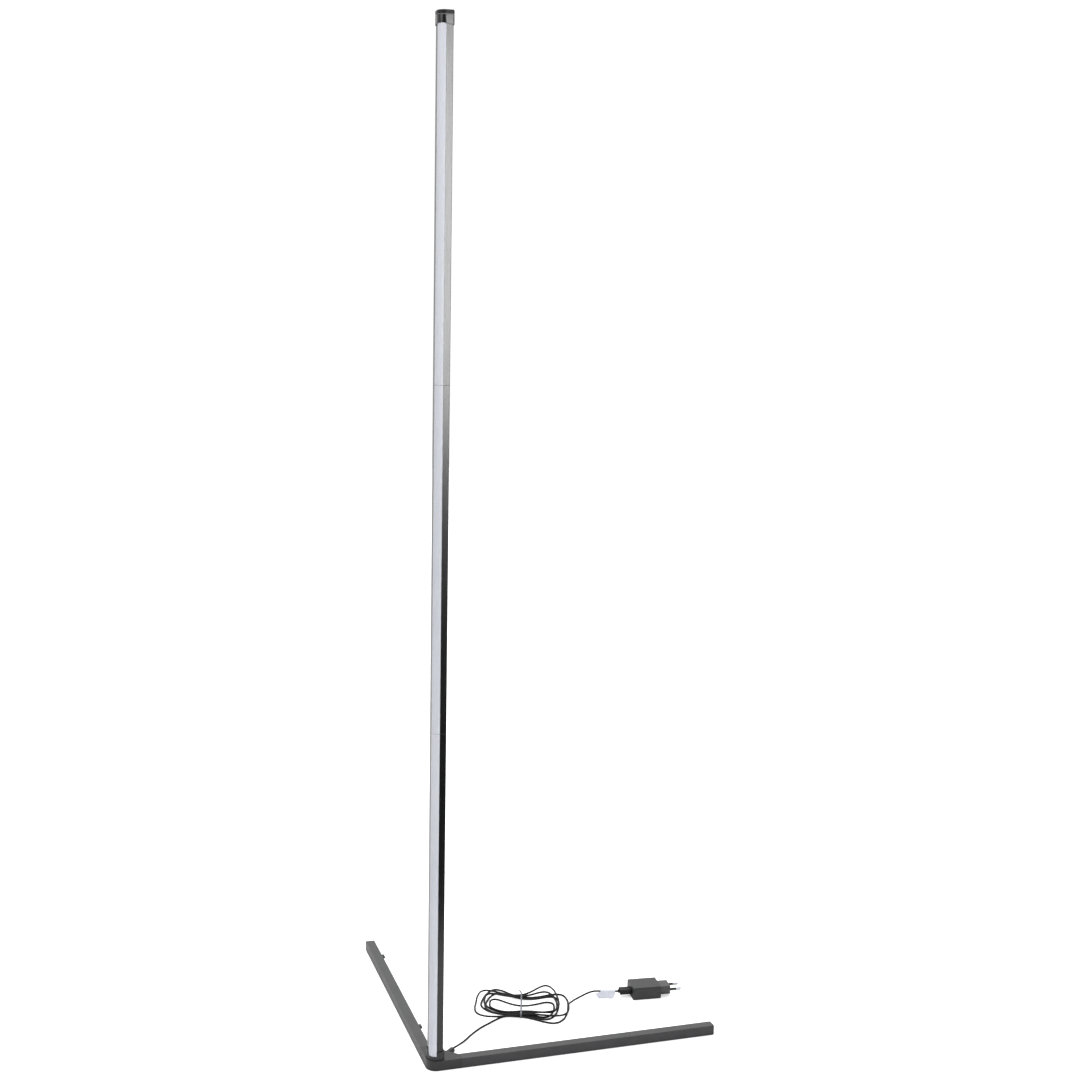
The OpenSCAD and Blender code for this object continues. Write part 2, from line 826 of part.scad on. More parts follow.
module control_board() color([0.1, 0.35, 0.2]) at_apex() {
    translate([0, 0, board_z]) linear_extrude(board_t) difference() {
        well_plan(-fit);
        both_posts() circle(d = screw_d + 2 * slide);
    }
    for (part = board_parts)
        translate(flat_point(part[0], board_z + board_t / 2))
            cube(flat_point(part[1], part[2] + board_t / 2));
}

// The socket for the lead, a tube round a centre pin
module power_jack() color([0.08, 0.08, 0.08]) at_inlet() {
    deep = barrel_len + fit;
    difference() {
        translate([-shell_t - jack_len, 0, 0]) rod_x(jack_d, jack_len);
        translate([-deep, 0, 0]) rod_x(barrel_d + 2 * slide, deep + 1);
    }
    translate([-deep - 1, 0, 0]) rod_x(centre_pin_d, deep + 1 - shell_t - centre_pin_tip);
}

// The lead's own plug: barrel, a grip that hangs a little below the barrel's axis, and a short relief
module power_plug() color([0.12, 0.12, 0.12]) at_inlet() {
    grip_end = power_plug_len - relief_len;
    difference() {
        union() {
            translate([-barrel_len, 0, 0]) rod_x(barrel_d, barrel_len + 1);
            translate([0, 0, -grip_drop]) rod_x(grip_d, grip_end);
            translate([grip_end - 1, 0, 0]) rod_x(relief_d, relief_len + 1);
        }
        translate([-barrel_len - 1, 0, 0]) rod_x(barrel_bore, barrel_len + 1);
    }
}

// The lead's plug at the adapter

module grip_section(in = 0) {
    w = grip_w / 2 - in;
    h = grip_h / 2 - in;
    c = grip_bevel;
    polygon([
        [-w + c, -h], [w - c, -h], [w, -h + c], [w, h - c],
        [w - c, h], [-w + c, h], [-w, h - c], [-w, -h + c]
    ]);
}

module at_usb() at_adapter() translate([-usb_gap, 0, usb_z]) children();

module usb_grip() color([0.12, 0.12, 0.12]) at_usb() {
    body_l = grip_l - usb_gap;
    difference() {
        union() {
            translate([-body_l, 0, 0]) along_x(body_l) grip_section();
            translate([-body_l - nub_l, 0, 0]) rod_x(nub_d, nub_l + 1);
        }
        translate([-usb_root, -usb_w / 2, -usb_h / 2]) cube([usb_root + 1, usb_w, usb_h]);
    }
}

module usb_shell() color([0.75, 0.75, 0.77]) at_usb() difference() {
    translate([-usb_root, -usb_w / 2, -usb_h / 2]) cube([usb_root + usb_l, usb_w, usb_h]);
    translate([-usb_root - 1, usb_t - usb_w / 2, usb_t - usb_h / 2])
        cube([usb_root + usb_l + 2, usb_w - 2 * usb_t, usb_h - 2 * usb_t]);
}

module usb_tongue() color([0.9, 0.9, 0.9]) at_usb()
    translate([-usb_root, usb_t - usb_w / 2, usb_t - usb_h / 2])
        cube([usb_root + usb_l - usb_t, usb_w - 2 * usb_t, tongue_t]);

// Adapter

module adapter_section(in = 0) {
    w = adapter_w / 2 - in;
    low = in;
    high = adapter_h - in;
    polygon([
        [-w + low_bevel, low], [w - low_bevel, low], [w, low + low_bevel], [w, high - top_bevel],
        [w - top_bevel, high], [-w + top_bevel, high], [-w, high - top_bevel], [-w, low + low_bevel]
    ]);
}

// The nose's hexagonal section, at half the body's height
module nose_section(in = 0) translate([0, adapter_h / 2]) {
    w = nose_w / 2 - in;
    h = nose_h / 2 - in;
    f = nose_flat / 2;
    polygon([[-f, -h], [f, -h], [w, 0], [f, h], [-f, h], [-w, 0]]);
}

module nose_plan() {
    w = nose_w / 2;
    polygon([
        [-1, -w - 1], [nose_l - nose_corner, -w - 1], [nose_l, nose_corner - w], [nose_l, w - nose_corner],
        [nose_l - nose_corner, w + 1], [-1, w + 1]
    ]);
}

module adapter_shell() color([0.13, 0.13, 0.13]) at_adapter() {
    port_w = usb_w + 2 * (slide + port_wall);
    port_h = usb_h + 2 * (slide + port_wall);
    in_w = adapter_w - 2 * adapter_wall;
    difference() {
        along_x(adapter_l) adapter_section();
        translate([adapter_wall, 0, 0]) along_x(adapter_l - 2 * adapter_wall) adapter_section(adapter_wall);
        translate([-1, -port_w / 2, usb_z - port_h / 2]) cube([adapter_wall + 2, port_w, port_h]);
        translate([adapter_l - adapter_wall - 1, 0, 0]) along_x(adapter_wall + 2) nose_section(nose_lip);
        translate([adapter_l, 0, 0]) rotate([0, 45, 0])
            cube([end_bevel / root2, 2 * adapter_w, end_bevel / root2], center = true);
    }
    for (s = [-1, 1])
        translate([adapter_wall - 0.5, s * (in_w - rail_w) / 2 - rail_w / 2, low_bevel + adapter_wall - 1])
            cube([adapter_l - 2 * adapter_wall + 1, rail_w, rail_z - low_bevel - adapter_wall + 1]);
}

module adapter_nose() color([0.12, 0.12, 0.12]) at_adapter() {
    difference() {
        intersection() {
            union() {
                translate([adapter_l, 0, 0]) along_x(nose_l) nose_section();
                translate([adapter_l - tenon_len, 0, 0]) along_x(tenon_len + 1) nose_section(nose_lip);
            }
            translate([adapter_l, 0, 0]) union() {
                linear_extrude(2 * adapter_h) nose_plan();
                translate([-2 * tenon_len, -adapter_w, 0])
                    cube([2 * tenon_len, 2 * adapter_w, 2 * adapter_h]);
            }
        }
        pin_places() translate([-nose_l - 2 * pin_root, 0, 0])
            rod_x(pin_d - 2 * pin_sleeve_t, nose_l + 3 * pin_root);
    }
}

// Origin on the nose's front face, at the axis of each pin
module pin_places() for (s = [-1, 1])
    translate([adapter_l + nose_l, s * pin_pitch / 2, adapter_h / 2]) children();

module plug_pins() color([0.8, 0.8, 0.82]) at_adapter() pin_places() {
    core = pin_d - 2 * pin_sleeve_t;
    translate([-nose_l - pin_root, 0, 0]) rod_x(core, nose_l + pin_root + sleeve_l + 1);
    translate([sleeve_l, 0, 0]) rod_x(pin_d, pin_l - sleeve_l - pin_tip);
    translate([pin_l - pin_tip, 0, 0]) rotate([0, 90, 0])
        cylinder(d1 = pin_d, d2 = pin_d - 2 * pin_tip, h = pin_tip);
}

module pin_sleeves() color([0.08, 0.08, 0.08]) at_adapter() pin_places() difference() {
    rod_x(pin_d, sleeve_l);
    translate([-1, 0, 0]) rod_x(pin_d - 2 * pin_sleeve_t, sleeve_l + 2);
}

// A liner in the body's end face with the contact tongue inside it
module usb_port() color([0.2, 0.2, 0.2]) at_adapter() translate([0, 0, usb_z]) {
    in_w = usb_w + 2 * slide;
    in_h = usb_h + 2 * slide;
    out_w = in_w + 2 * port_wall;
    out_h = in_h + 2 * port_wall;
    blade_w = usb_w - 2 * usb_t - 2 * slide;
    blade_top = usb_h / 2 - usb_t - slide;
    blade_low = usb_t + tongue_t + slide - usb_h / 2;
    difference() {
        translate([-port_ring / 2, -out_w / 2, -out_h / 2]) cube([port_deep, out_w, out_h]);
        translate([-1, -in_w / 2, -in_h / 2]) cube([port_deep - port_wall + 1, in_w, in_h]);
    }
    translate([adapter_wall, -blade_w / 2, blade_low])
        cube([port_deep - adapter_wall - port_wall, blade_w, blade_top - blade_low]);
}

// A board on the body's two rails, with its larger parts
module adapter_board() color([0.1, 0.35, 0.2]) at_adapter() {
    x = port_deep + 1;
    l = adapter_l - adapter_wall - tenon_len - x;
    w = adapter_w - 2 * adapter_wall - 2 * slide;
    translate([x, -w / 2, rail_z]) cube([l, w, board_t]);
    translate([x + l / 2, 0, rail_z + board_t / 2]) {
        translate([-coil_size[0] / 2, -can_at + can_d / 2, 0]) cube(coil_size);
        translate([0, can_at, 0]) cylinder(d = can_d, h = can_h);
    }
}

corner_connector();
base_cover();
cover_screws();
right_leg();
rear_leg();
right_leg_cap();
rear_leg_cap();
leg_screws();
foot_pads();
cord_clips();
control_board();
power_jack();
pole_lower();
pole_middle();
pole_upper();
diffuser_lower();
diffuser_middle();
diffuser_upper();
led_strip_lower();
led_strip_middle();
led_strip_upper();
coupler_lower();
coupler_upper();
contacts_lower();
contacts_upper();
cap_sleeve();
cap_lid();
power_plug();
cord_lead();
cord_hank();
cord_tail();
hank_tie();
cord_tag();
usb_grip();
usb_shell();
usb_tongue();
adapter_shell();
adapter_nose();
plug_pins();
pin_sleeves();
usb_port();
adapter_board();
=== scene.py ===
import math
import bpy
from mathutils import Matrix, Vector


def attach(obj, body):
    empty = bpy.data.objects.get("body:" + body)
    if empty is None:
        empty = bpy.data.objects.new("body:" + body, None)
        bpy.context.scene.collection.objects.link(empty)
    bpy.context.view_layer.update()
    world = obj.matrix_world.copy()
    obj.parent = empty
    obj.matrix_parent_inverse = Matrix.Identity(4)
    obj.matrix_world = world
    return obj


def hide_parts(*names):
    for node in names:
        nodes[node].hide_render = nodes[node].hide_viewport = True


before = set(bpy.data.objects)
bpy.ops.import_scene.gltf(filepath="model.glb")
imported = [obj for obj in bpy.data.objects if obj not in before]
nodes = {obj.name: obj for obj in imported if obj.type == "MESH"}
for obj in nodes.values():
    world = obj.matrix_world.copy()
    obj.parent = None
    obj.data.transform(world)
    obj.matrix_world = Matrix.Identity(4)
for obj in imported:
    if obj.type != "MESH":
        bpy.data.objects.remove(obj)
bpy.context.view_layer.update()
MM = 0.001
UP = Vector((0, 0, 1))
MERGE_WITHIN = 0.004 * MM
FLAT_WITHIN = math.radians(0.8)
SMOOTH_BELOW = math.radians(38)
TURNED_SIDES = 40


# Helpers for objects, selecting and shaping

def given(thing, **values):
    for key, value in values.items():
        setattr(thing, key, value)
    return thing


def new_object(name, data):
    made = bpy.data.objects.new(name, data)
    bpy.context.scene.collection.objects.link(made)
    return made


def axes_matrix(x, y, z, origin):
    """The matrix that turns the axes to x, y and z and moves the origin."""
    made = Matrix((x, y, z)).transposed().to_4x4()
    made.translation = origin
    return made


def deselect_everything():
    if bpy.context.object and bpy.context.object.mode != "OBJECT":
        bpy.ops.object.mode_set(mode="OBJECT")
    bpy.ops.object.select_all(action="DESELECT")


def take_up(piece):
    deselect_everything()
    piece.select_set(True)
    bpy.context.view_layer.objects.active = piece


def settle(piece):
    take_up(piece)
    bpy.ops.object.transform_apply(location=True, rotation=True, scale=True)


def modified(piece, name, kind, **values):
    """Adds a modifier to the piece in hand and applies it."""
    modifier = given(piece.modifiers.new(name, kind), **values)
    bpy.ops.object.modifier_apply(modifier=modifier.name)


def pick(piece, wanted, kind="FACE"):
    """Selects the faces or edges for which wanted(middle, normal or direction) is true."""
    bpy.ops.object.mode_set(mode="EDIT")
    bpy.ops.mesh.select_mode(type=kind)
    bpy.ops.mesh.select_all(action="DESELECT")
    bpy.ops.object.mode_set(mode="OBJECT")
    mesh = piece.data
    if kind == "FACE":
        for face in mesh.polygons:
            face.select = bool(wanted(face.center, face.normal))
    else:
        for edge in mesh.edges:
            a, b = (mesh.vertices[i].co for i in edge.vertices)
            edge.select = bool(wanted((a + b) / 2, b - a))
    bpy.ops.object.mode_set(mode="EDIT")


def pick_edges_along(piece, axis):
    pick(piece, lambda middle, way: abs(way[axis]) > 0.9 * way.length, "EDGE")


def face_outwards():
    """Leaves edit mode with all normals outwards."""
    bpy.ops.mesh.select_all(action="SELECT")
    bpy.ops.mesh.normals_make_consistent(inside=False)
    bpy.ops.object.mode_set(mode="OBJECT")


def round_edges(piece, width, segments=2, angle=32):
    take_up(piece)
    modified(piece, "edges", "BEVEL", width=width, segments=segments, limit_method="ANGLE",
             angle_limit=math.radians(angle))
    bpy.ops.object.shade_smooth_by_angle(angle=SMOOTH_BELOW)
    modified(piece, "even", "WEIGHTED_NORMAL", keep_sharp=True)


def hand_over(piece, name, body, slot, material, *stands_for):
    piece.name = name
    piece.data.name = name
    piece.data.materials.clear()
    piece.data.materials.append(material)
    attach(piece, body)
    if stands_for:
        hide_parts(*stands_for)
    return piece


def dressed(node_name, name, body, slot, material, width, segments=2):
    """Stands in for a node: a copy of it with rounded edges, their width in mm."""
    piece = new_object(node_name + "_copy", nodes[node_name].data.copy())
    take_up(piece)
    bpy.ops.object.mode_set(mode="EDIT")
    bpy.ops.mesh.select_all(action="SELECT")
    bpy.ops.mesh.remove_doubles(threshold=MERGE_WITHIN)
    bpy.ops.mesh.dissolve_limited(angle_limit=FLAT_WITHIN)
    bpy.ops.object.mode_set(mode="OBJECT")
    round_edges(piece, width * MM, segments)
    return hand_over(piece, name, body, slot, material, node_name)


# Camera, at the photograph's place

CAMERA_PLACE = Vector((-0.76385, -2.39125, 1.158))
CAMERA_WAY = Vector((0.3009, 0.9399, -0.1616)).normalized()
CAMERA_ROLL = math.radians(1.12)
CAMERA_LENS = 54.24
SENSOR_WIDTH = 36


def photo_camera():
    level = CAMERA_WAY.cross(UP).normalized()
    above = level.cross(CAMERA_WAY)
    c, s = math.cos(CAMERA_ROLL), math.sin(CAMERA_ROLL)
    across, up = c * level + s * above, c * above - s * level
    data = given(bpy.data.cameras.new("photo_camera"), sensor_fit="HORIZONTAL",
                 sensor_width=SENSOR_WIDTH, lens=CAMERA_LENS, clip_start=0.05, clip_end=60)
    camera = new_object("photo_camera", data)
    camera.matrix_world = axes_matrix(across, up, -CAMERA_WAY, CAMERA_PLACE)
    bpy.context.scene.camera = camera


photo_camera()


# The lead's route: places from the end of the strain relief, as in the model, in metres

CORD_D = 0.003
FLOOR = CORD_D / 2
INLET_Z = 0.0066
PLUG_LENGTH = 0.0264
EXIT = Vector((-0.176232, -0.176232, 0))
LEAD_ROUTE = [
    (0, 0, INLET_Z), (0.003, 0.003, INLET_Z), (0.009, 0.0095, 0.0052), (0.018, 0.0195, 0.0034),
    (0.028, 0.031, 0.0021), (0.038, 0.043, FLOOR), (0.050, 0.055, FLOOR), (0.063, 0.066, FLOOR),
    (0.077, 0.0755, FLOOR), (0.090, 0.084, FLOOR), (0.100, 0.090, FLOOR), (0.110, 0.0924, FLOOR)]
# The next places are measured from the hank's end
TAIL_ROUTE = [
    (0.0105, 0.0137, 0.0046), (0.022, 0.0224, 0.0044), (0.0325, 0.0282, 0.005),
    (0.0424, 0.032, 0.0064), (0.0497, 0.0322, 0.008)]
TAG_AT = Vector((0.05665, 0.03088, 0))
TAG_TURN = -16
TAG_ROOM = 0.033
TAG_EASE = 0.001
PLUG_Z = 0.009
NUB_AT = Vector((0.09121, 0.02124, 0))
NUB_STRAIGHT = 0.0016
ADAPTER_TURN = -5.5

# The hank: a flattened loop, wound inwards on the floor and outwards again on top of itself.
# Its middle is in metres, its other sizes are in mm, and its angles are in degrees.
HANK_MID = (0.143, 0.118)
HANK_TURN = -17.5
HANK_START = 264
HANK_TURNS = 5.25
LOOP_RINGS = 24
END_CUT = 0.008
HANK_HALF, HANK_FAN = 72, 9
HANK_WAIST, HANK_STEP = 36, 5.4
WANDER, WANDER_RATE = 1.8, 230
SWELL_TOP, SWELL_TOP_STEP = 40, 9
SWELL_LOW, SWELL_LOW_STEP, SWELL_TILT = 14, 3, 9
SWELL_PEAK = 2.598
REVERSE_AT = (90 - HANK_START + 3 * 360) / 360
REVERSE_SOFT = 0.12
CLIMB = 0.5
LAYER_RISE = 3.8
LOWER_TWIST, UPPER_TWIST = -9, 8
TIE_LIFT, TIE_REACH = 0.8, 30
# Stray loops: the turn each is at, the share of a turn it takes to either side, and how far it is off
# along, across and upwards
STRAYS = [
    (REVERSE_AT, 0.25, 0, -25, 0), (0.23, 0.19, 4, -6, 0), (3.8, 0.2, 4, -3, 0),
    (4.27, 0.24, -3, 6, 3.8), (4.86, 0.15, -9, -4, 0)]


def direction(degrees):
    a = math.radians(degrees)
    return Vector((math.cos(a), math.sin(a), 0))


def soft_step(x):
    t = min(1, max(0, x))
    return t * t * (3 - 2 * t)


def turned(x, y, degrees):
    c, s = math.cos(math.radians(degrees)), math.sin(math.radians(degrees))
    return x * c - y * s, x * s + y * c


def hank_at(n):
    """The lead's middle after n turns of the hank."""
    a = math.radians(HANK_START + 360 * n)
    s = REVERSE_AT - math.sqrt((n - REVERSE_AT) ** 2 + REVERSE_SOFT ** 2)
    layer = soft_step((n - REVERSE_AT) / CLIMB + 0.5)
    half = HANK_HALF - HANK_FAN * s + WANDER * math.sin(math.radians(WANDER_RATE * n))
    if math.sin(a) >= 0:
        swell = SWELL_TOP - SWELL_TOP_STEP * s
    else:
        swell = SWELL_LOW - SWELL_LOW_STEP * s + SWELL_TILT * math.cos(a)
    x = half * math.cos(a)
    y = math.sin(a) * (HANK_WAIST - HANK_STEP * s)
    y += swell * SWELL_PEAK * math.sin(a) * math.cos(a) ** 2
    above = layer * LAYER_RISE
    for turn, share, along, across, up in STRAYS:
        near = min(1, ((n - turn) / share) ** 2)
        x += along * (1 - near) ** 2
        y += across * (1 - near) ** 2
        above += up * (1 - near ** 2) ** 2
    x, y = turned(x, y, LOWER_TWIST + (UPPER_TWIST - LOWER_TWIST) * layer)
    lift = TIE_LIFT * max(0, 1 - (x / TIE_REACH) ** 2) ** 2
    x, y = turned(x, y, HANK_TURN)
    return Vector((HANK_MID[0] + x * MM, HANK_MID[1] + y * MM, FLOOR + (lift + above) * MM))


def lead_places():
    """All places of the lead, and where the label starts."""
    rings = math.ceil(HANK_TURNS * LOOP_RINGS)
    hank = [hank_at(i * HANK_TURNS / rings) for i in range(rings + 1)]
    into = (hank_at(END_CUT) - hank_at(0)).normalized()
    out = (hank_at(HANK_TURNS) - hank_at(HANK_TURNS - END_CUT)).normalized()
    last = hank[-1]
    end = Vector((last.x, last.y, 0))
    tag_start = end + TAG_AT
    tag_end = tag_start + TAG_ROOM * direction(TAG_TURN)
    inset = TAG_EASE * direction(TAG_TURN)
    nub_tip = end + NUB_AT
    height = PLUG_Z * UP
    places = [Vector(p) for p in LEAD_ROUTE]
    places += [hank[0] - CORD_D * into]
    places += hank
    places += [last + CORD_D * out]
    places += [end + Vector(p) for p in TAIL_ROUTE]
    places += [p + height for p in (
        tag_start, tag_start + inset, tag_end - inset, tag_end,
        nub_tip - NUB_STRAIGHT * direction(ADAPTER_TURN), nub_tip)]
    return [EXIT + p for p in places], EXIT + tag_start


# Finishes; the depths of their grain are in metres

PATCH_SCALE = 45.0


def new_material(name):
    material = bpy.data.materials.new(name)
    material.use_nodes = True
    tree = material.node_tree
    return material, tree, tree.nodes["Principled BSDF"]


def node(tree, kind, **values):
    return given(tree.nodes.new(kind), **values)


def fill(shader, values):
    """Sets the shader's own sockets."""
    for socket, value in values.items():
        shader.inputs[socket].default_value = value


def object_places(tree, scale=(1, 1, 1)):
    coords = node(tree, "ShaderNodeTexCoord")
    mapping = node(tree, "ShaderNodeMapping")
    fill(mapping, {"Scale": scale})
    tree.links.new(coords.outputs["Object"], mapping.inputs["Vector"])
    return mapping.outputs["Vector"]


def noise(tree, places, scale, detail=2.0, roughness=0.5):
    made = node(tree, "ShaderNodeTexNoise")
    fill(made, {"Scale": scale, "Detail": detail, "Roughness": roughness})
    tree.links.new(places, made.inputs["Vector"])
    return made.outputs["Fac"]


def spread(tree, value, low, high, a, b):
    """Takes the value from low..high to a..b."""
    made = node(tree, "ShaderNodeMapRange")
    fill(made, {"From Min": low, "From Max": high, "To Min": a, "To Max": b})
    tree.links.new(value, made.inputs["Value"])
    return made.outputs["Result"]


def tones(tree, value, dark, light, low=0.35, high=0.65):
    ramp = node(tree, "ShaderNodeValToRGB")
    for stop, position, tone in zip(ramp.color_ramp.elements, (low, high), (dark, light)):
        stop.position = position
        stop.color = (*tone, 1)
    tree.links.new(value, ramp.inputs["Fac"])
    return ramp.outputs["Color"]


def raised(tree, bsdf, height, distance):
    bump = node(tree, "ShaderNodeBump")
    fill(bump, {"Distance": distance, "Strength": 1.0})
    tree.links.new(height, bump.inputs["Height"])
    tree.links.new(bump.outputs["Normal"], bsdf.inputs["Normal"])


def roughened(tree, bsdf, value, rough):
    tree.links.new(spread(tree, value, 0.3, 0.7, *rough), bsdf.inputs["Roughness"])


def grained(name, dark, light, rough, grain, depth, metallic=0.0, specular=0.5, stretch=(1, 1, 1)):
    """A surface with a fine grain, rough=(from, to), and broad faint patches of tone."""
    material, tree, bsdf = new_material(name)
    fine = noise(tree, object_places(tree, stretch), grain, 3.0, 0.6)
    broad = noise(tree, object_places(tree), PATCH_SCALE, 3.0, 0.55)
    tree.links.new(tones(tree, broad, dark, light), bsdf.inputs["Base Color"])
    roughened(tree, bsdf, fine, rough)
    raised(tree, bsdf, fine, depth)
    fill(bsdf, {"Metallic": metallic, "Specular IOR Level": specular})
    return material


def moulded_black(name, tone, rough=(0.42, 0.56), grain=2600.0, depth=0.00003, specular=0.5):
    return grained(name, [0.82 * t for t in tone], [1.15 * t for t in tone], rough, grain, depth,
                   specular=specular)


def lid_black_painted_band(painted_band_top):
    """A black with a painted highlight: light grey up to the given height above the floor, as a band
    at the lid's foot where its side catches the light, and black above it.
    """
    material, tree, bsdf = new_material("lid_black_painted_band")
    places = object_places(tree)
    split = node(tree, "ShaderNodeSeparateXYZ")
    tree.links.new(places, split.inputs["Vector"])
    # Painted highlight: light grey below the height, plain black above it
    over_line = spread(tree, split.outputs["Z"], painted_band_top - 0.0001, painted_band_top + 0.0001, 0, 1)
    shade = tones(tree, over_line, (0.20, 0.20, 0.21), (0.006, 0.006, 0.0065), 0, 1)
    tree.links.new(shade, bsdf.inputs["Base Color"])
    roughened(tree, bsdf, noise(tree, places, 2600.0, 3.0, 0.6), (0.42, 0.54))
    fill(bsdf, {"Specular IOR Level": 0.3})
    return material


def opal(name, dark, light):
    """Extruded opal plastic: faint lines along the piece and a little light carried inside it."""
    material, tree, bsdf = new_material(name)
    lines = noise(tree, object_places(tree, (1, 1, 0.01)), 900.0)
    broad = noise(tree, object_places(tree, (1, 1, 0.25)), 14.0)
    tree.links.new(tones(tree, broad, dark, light), bsdf.inputs["Base Color"])
    roughened(tree, bsdf, lines, (0.42, 0.52))
    raised(tree, bsdf, lines, 0.000006)
    fill(bsdf, {"Subsurface Weight": 0.35, "Subsurface Radius": (1.0, 0.9, 0.8),
                "Subsurface Scale": 0.003, "IOR": 1.49})
    return material


def film(name, light):
    material, tree, bsdf = new_material(name)
    soft = noise(tree, object_places(tree), 160.0, 3.0, 0.6)
    crease = noise(tree, object_places(tree, (1, 2.2, 1)), 420.0, 2.0, 0.4)
    tree.links.new(tones(tree, soft, [0.9 * t for t in light], light), bsdf.inputs["Base Color"])
    roughened(tree, bsdf, crease, (0.28, 0.5))
    raised(tree, bsdf, crease, 0.00012)
    return material


base_plastic = moulded_black("spark_textured_black", (0.010, 0.010, 0.011))
adapter_plastic = moulded_black("adapter_black", (0.013, 0.013, 0.014),
                                (0.40, 0.55), 2200.0, 0.00004)
nose_plastic = moulded_black("adapter_front_black", (0.042, 0.042, 0.044),
                             (0.40, 0.55), 2200.0, 0.00004)
plug_plastic = moulded_black("plug_black", (0.010, 0.010, 0.011), (0.50, 0.62), specular=0.22)
powder_coat = grained("powder_coat_black", (0.018, 0.018, 0.020), (0.025, 0.025, 0.027),
                      (0.38, 0.50), 1500.0, 0.00004)
anodised = grained("anodised_black", (0.005, 0.005, 0.0055), (0.009, 0.009, 0.0095),
                   (0.20, 0.26), 2400.0, 0.000006, stretch=(1, 1, 0.012))
cap_finish = grained("cap_satin_black", (0.008, 0.008, 0.009), (0.012, 0.012, 0.013),
                     (0.22, 0.29), 2600.0, 0.00001)
sheath = grained("lead_sheath", (0.006, 0.006, 0.006), (0.009, 0.009, 0.009),
                 (0.50, 0.62), 1800.0, 0.00002, specular=0.20)
foot_rubber = grained("foot_rubber", (0.050, 0.050, 0.050), (0.075, 0.075, 0.074),
                      (0.75, 0.9), 1400.0, 0.00006)
zinc = grained("zinc_plate", (0.44, 0.44, 0.45), (0.58, 0.58, 0.60),
               (0.22, 0.38), 1800.0, 0.00001, metallic=1.0)
nickel = grained("nickel_plate", (0.24, 0.25, 0.275), (0.29, 0.30, 0.325),
                 (0.26, 0.38), 2600.0, 0.000006, metallic=1.0, stretch=(0.1, 1, 1))
brass = grained("contact_brass", (0.66, 0.46, 0.20), (0.80, 0.60, 0.30),
                (0.18, 0.30), 2200.0, 0.000008, metallic=1.0, stretch=(1, 1, 0.1))
board_face = grained("board_green", (0.012, 0.070, 0.030), (0.025, 0.110, 0.050),
                     (0.30, 0.45), 700.0, 0.00003)
strip_face = grained("strip_white", (0.70, 0.69, 0.64), (0.82, 0.81, 0.77),
                     (0.35, 0.5), 500.0, 0.00003)
# The lid's black carries a painted highlight: a light grey band at its foot, standing in for the light
# its lower side catches
lid_painted_band = lid_black_painted_band(painted_band_top=1.4947)
opal_plastic = opal("opal_plastic", (0.74, 0.76, 0.83), (0.79, 0.81, 0.87))
tag_film = film("label_film", (0.60, 0.62, 0.69))
tie_film = film("tie_film", (0.11, 0.12, 0.14))


# The lead, on one smooth curve

def lead_curve():
    places, tag_start = lead_places()
    data = given(bpy.data.curves.new("lead", "CURVE"), dimensions="3D", resolution_u=3,
                 bevel_depth=CORD_D / 2, bevel_resolution=4, use_fill_caps=True)
    spline = data.splines.new("BEZIER")
    spline.bezier_points.add(len(places) - 1)
    for point, place in zip(spline.bezier_points, places):
        point.co = place
        point.handle_left_type = point.handle_right_type = "AUTO"
    curve = new_object("lead", data)
    hand_over(curve, "lead", "lamp", "lead_black", sheath, "cord_lead", "cord_hank", "cord_tail")
    return curve, places[0], tag_start


lead, lead_start, label_start = lead_curve()


# Pieces on the lead, shaped in edit mode, their sizes in mm

def stretch(move, size=1.0):
    """Draws the selected face or edge out by move, then scales the new one about its own middle."""
    bpy.ops.mesh.extrude_region_move(TRANSFORM_OT_translate={"value": tuple(move)})
    if size != 1.0:
        bpy.ops.transform.resize(value=(size, size, size))


def standing_box(width, depth, height):
    deselect_everything()
    bpy.ops.mesh.primitive_cube_add(size=1, location=(0, 0, height / 2 * MM))
    box = bpy.context.object
    box.scale = (width * MM, depth * MM, height * MM)
    settle(box)
    return box


def turned_piece(stations, start, axis):
    """A piece turned about axis: stations are (distance along it, radius, how far off it upwards)."""
    deselect_everything()
    along, radius, up = stations[0]
    bpy.ops.mesh.primitive_circle_add(vertices=TURNED_SIDES, radius=radius * MM, fill_type="NGON",
                                      location=(up * MM, 0, along * MM))
    piece = bpy.context.object
    settle(piece)
    bpy.ops.object.mode_set(mode="EDIT")
    bpy.ops.mesh.select_all(action="SELECT")
    for next_along, next_radius, next_up in stations[1:]:
        stretch(((next_up - up) * MM, 0, (next_along - along) * MM), next_radius / radius)
        along, radius, up = next_along, next_radius, next_up
    face_outwards()
    piece.matrix_world = axes_matrix(UP, axis.cross(UP), axis, start)
    settle(piece)
    bpy.ops.object.shade_smooth_by_angle(angle=SMOOTH_BELOW)
    return piece


def lamp_plug():
    """The grip hangs a little below the barrel's axis, and the relief tapers onto the lead."""
    way = direction(45)
    inlet = EXIT - PLUG_LENGTH * way + INLET_Z * UP
    hang = -1.1
    grip = turned_piece([
        (0, 4.3, hang), (0.4, 4.6, hang), (23.6, 4.6, hang), (24.4, 4.45, hang), (24.9, 4.05, hang),
        (25, 3.3, -0.7), (25.05, 2.75, 0), (26.4, 2.4, 0), (28.6, 1.72, 0)], inlet, way)
    hand_over(grip, "lamp_plug", "lamp", "plug_black", base_plastic, "power_plug")
    barrel = turned_piece([
        (0.2, 2.75, 0), (-8.7, 2.75, 0), (-9, 2.5, 0), (-9, 1.05, 0), (-1, 1.05, 0)], inlet, way)
    hand_over(barrel, "lamp_plug_barrel", "lamp", "plug_steel", nickel)
    return [grip, barrel]


